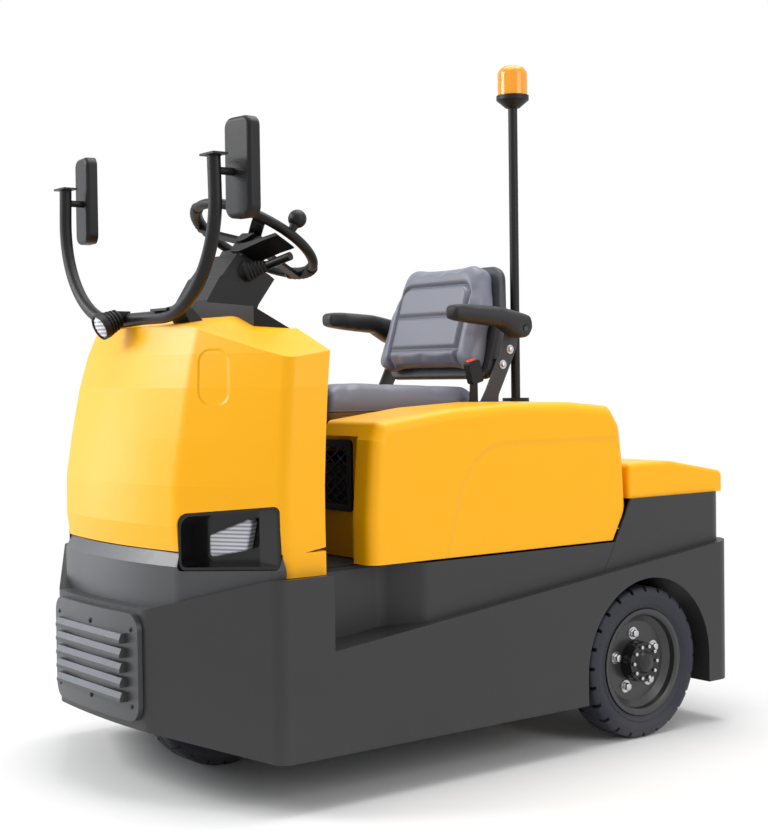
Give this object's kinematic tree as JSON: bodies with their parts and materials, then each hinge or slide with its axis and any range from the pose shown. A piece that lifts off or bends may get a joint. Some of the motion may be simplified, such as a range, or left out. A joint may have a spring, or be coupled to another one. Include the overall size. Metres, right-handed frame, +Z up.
{
  "type": "airport tow tractor",
  "caption": "Electric airport tow tractor: driver's seat on a tilting hood over the battery, yellow cowl, dark bumper, mast beacon and tow hitch.",
  "frame": {"origin": "on the floor, below the centre of the bounding box", "axes": "+Z up; the front faces -Y; the driver's left side is towards +X"},
  "size_m": [1.099, 1.82, 1.873],
  "materials": {
    "yellow_paint": "semi-gloss",
    "dark_cast_paint": "textured satin",
    "chassis_paint": "satin",
    "drive_paint": "matt",
    "hub_paint": "satin",
    "rim_paint": "satin",
    "tyre_rubber": "matt",
    "mat_rubber": "matt",
    "black_plastic": "fine grain",
    "pod_plastic": "gloss",
    "lamp_glass": "clear",
    "tail_lens": "gloss",
    "beacon_amber": "gloss, lets light through",
    "seat_vinyl": "grained",
    "shell_plastic": "grained",
    "bright_steel": "bright",
    "mirror_face": "polished",
    "battery_case": "matt"
  },
  "bodies": {
    "chassis": {"chassis_frame": "chassis_paint", "battery": "battery_case", "drive_axle": "drive_paint", "front_bumper": "dark_cast_paint", "louvre_cover": "black_plastic", "nose_apron": "black_plastic", "cowl": "yellow_paint", "headlamp_pods": "pod_plastic", "headlamp_lenses": "lamp_glass", "dash_box": "black_plastic", "bulkhead": "chassis_paint", "steering_console": "black_plastic", "shift_lever": "black_plastic", "floor_pan": "chassis_paint", "floor_mat": "mat_rubber", "pedals": "black_plastic", "side_skirt_left": "dark_cast_paint", "side_skirt_right": "dark_cast_paint", "tail_panel": "dark_cast_paint", "tail_cover": "yellow_paint", "tail_lamps": "tail_lens", "tow_hitch": "chassis_paint", "mirror_frame": "black_plastic", "mirror_housings": "black_plastic", "mirror_glasses": "mirror_face", "work_lamp": "black_plastic", "hood_hinge": "bright_steel"},
    "steering_fork": {"steering_fork": "drive_paint"},
    "front_wheel": {"front_rim": "rim_paint", "front_tyre": "tyre_rubber"},
    "rear_wheel_left": {"rear_rim_left": "rim_paint", "rear_tyre_left": "tyre_rubber", "rear_hub_left": "hub_paint"},
    "rear_wheel_right": {"rear_rim_right": "rim_paint", "rear_tyre_right": "tyre_rubber", "rear_hub_right": "hub_paint"},
    "steering_wheel": {"steering_wheel": "black_plastic"},
    "hitch_pin": {"hitch_pin": "bright_steel"},
    "hood": {"hood": "yellow_paint", "seat_vent": "black_plastic", "seat_base": "chassis_paint", "seat_cushion": "seat_vinyl", "seat_backrest": "seat_vinyl", "seat_back_shell": "shell_plastic", "seat_brackets": "shell_plastic", "belt_buckle": "black_plastic", "beacon_mast": "chassis_paint", "beacon_lens": "beacon_amber"},
    "armrest_left": {"armrest_left": "seat_vinyl"},
    "armrest_right": {"armrest_right": "seat_vinyl"}
  },
  "joints": [
    {"name": "steer", "type": "hinge", "parent": "chassis", "child": "steering_fork", "pos_m": [0, -0.54, 0.45], "axis": [0, 0, 1], "range_deg": [-75, 75]},
    {"name": "steering_wheel_turn", "type": "hinge", "parent": "chassis", "child": "steering_wheel", "pos_m": [0, -0.403, 1.368], "axis": [0, 0.503, 0.8643], "range_deg": [-600, 600]},
    {"name": "front_wheel_spin", "type": "hinge", "parent": "steering_fork", "child": "front_wheel", "pos_m": [0, -0.54, 0.2], "axis": [1, 0, 0], "continuous": true},
    {"name": "rear_wheel_spin_left", "type": "hinge", "parent": "chassis", "child": "rear_wheel_left", "pos_m": [0.4875, 0.5, 0.2075], "axis": [1, 0, 0], "continuous": true},
    {"name": "rear_wheel_spin_right", "type": "hinge", "parent": "chassis", "child": "rear_wheel_right", "pos_m": [-0.4875, 0.5, 0.2075], "axis": [1, 0, 0], "continuous": true},
    {"name": "hood_tilt", "type": "hinge", "parent": "chassis", "child": "hood", "pos_m": [0, 0.482, 0.77], "axis": [-1, 0, 0], "range_deg": [0, 50]},
    {"name": "armrest_tilt_left", "type": "hinge", "parent": "hood", "child": "armrest_left", "pos_m": [0.29, 0.278, 1.128], "axis": [-1, 0, 0], "range_deg": [0, 70]},
    {"name": "armrest_tilt_right", "type": "hinge", "parent": "hood", "child": "armrest_right", "pos_m": [-0.29, 0.278, 1.128], "axis": [-1, 0, 0], "range_deg": [0, 70]},
    {"name": "hitch_pin_lift", "type": "slide", "parent": "chassis", "child": "hitch_pin", "axis": [0, 0, 1], "range_m": [0, 0.09]}
  ],
  "couplings": [
    {"joint": "steering_wheel_turn", "follows": "steer", "ratio": 8}
  ]
}
